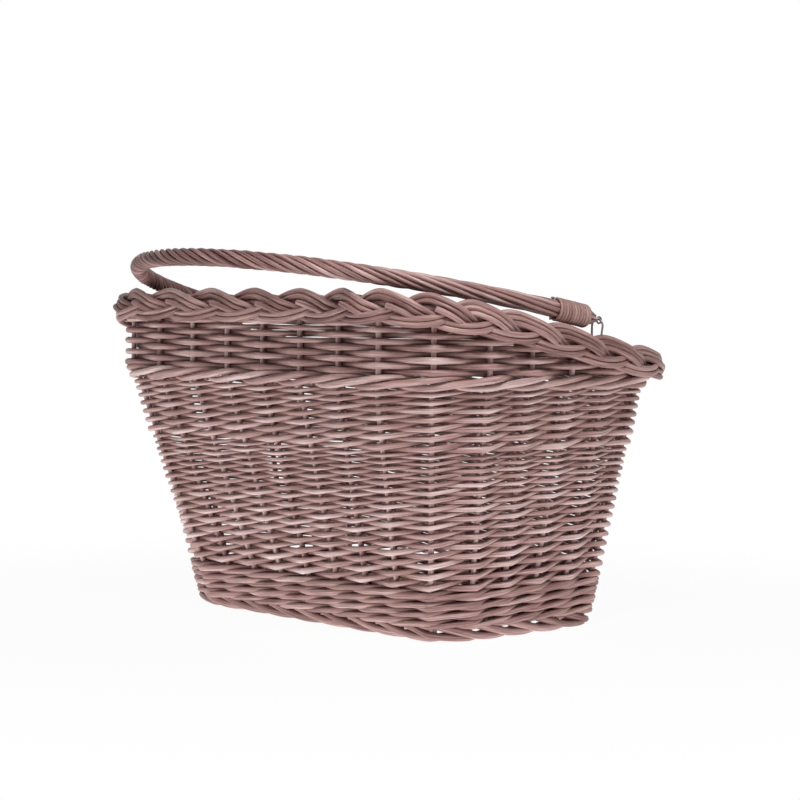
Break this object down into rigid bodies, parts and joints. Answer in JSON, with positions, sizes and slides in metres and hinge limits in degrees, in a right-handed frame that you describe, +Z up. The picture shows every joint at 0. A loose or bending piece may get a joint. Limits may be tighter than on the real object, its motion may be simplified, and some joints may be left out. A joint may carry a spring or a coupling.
{
  "type": "bicycle basket",
  "caption": "Woven willow bicycle basket with a tapering body, a high front, a plaited border and a swinging handle of twisted rods on wire hinges.",
  "frame": {"origin": "middle of the flat underside of the base panel; the foot stands 11 mm lower", "axes": "+X along the long side, -Y to the high front where the handle rests, +Y to the low rear, +Z up"},
  "size_m": [0.442, 0.3701, 0.3012],
  "materials": {
    "dyed_willow": "dyed, dull satin",
    "split_cane": "dyed, dull satin",
    "dark_wire": "dull"
  },
  "bodies": {
    "basket": {"foot_border": "dyed_willow", "upsett_wale": "dyed_willow", "lower_siding": "dyed_willow", "upper_siding": "dyed_willow", "middle_wale": "dyed_willow", "top_siding": "dyed_willow", "plaited_border": "dyed_willow", "base_weave": "dyed_willow", "base_stick_1": "dyed_willow", "base_stick_2": "dyed_willow", "base_stick_3": "dyed_willow", "base_stick_4": "dyed_willow", "base_stick_5": "dyed_willow", "base_stick_6": "dyed_willow", "stake_01": "dyed_willow", "stake_02": "dyed_willow", "stake_03": "dyed_willow", "stake_04": "dyed_willow", "stake_05": "dyed_willow", "stake_06": "dyed_willow", "stake_07": "dyed_willow", "stake_08": "dyed_willow", "stake_09": "dyed_willow", "stake_10": "dyed_willow", "stake_11": "dyed_willow", "stake_12": "dyed_willow", "stake_13": "dyed_willow", "stake_14": "dyed_willow", "stake_15": "dyed_willow", "stake_16": "dyed_willow", "stake_17": "dyed_willow", "stake_18": "dyed_willow", "stake_19": "dyed_willow", "stake_20": "dyed_willow", "stake_21": "dyed_willow", "stake_22": "dyed_willow", "stake_23": "dyed_willow", "stake_24": "dyed_willow", "stake_25": "dyed_willow", "stake_26": "dyed_willow", "stake_27": "dyed_willow", "stake_28": "dyed_willow", "hinge_staple_left": "dark_wire", "hinge_staple_right": "dark_wire"},
    "handle": {"handle_rods": "dyed_willow", "wire_eye_left": "dark_wire", "wire_eye_right": "dark_wire", "binding_left": "split_cane", "binding_right": "split_cane", "binding_nail_left": "dark_wire", "binding_nail_right": "dark_wire"}
  },
  "joints": [
    {"name": "handle_swing", "type": "hinge", "parent": "basket", "child": "handle", "pos_m": [0, 0.028, 0.2381], "axis": [-1, 0, 0], "range_deg": [0, 175]}
  ]
}
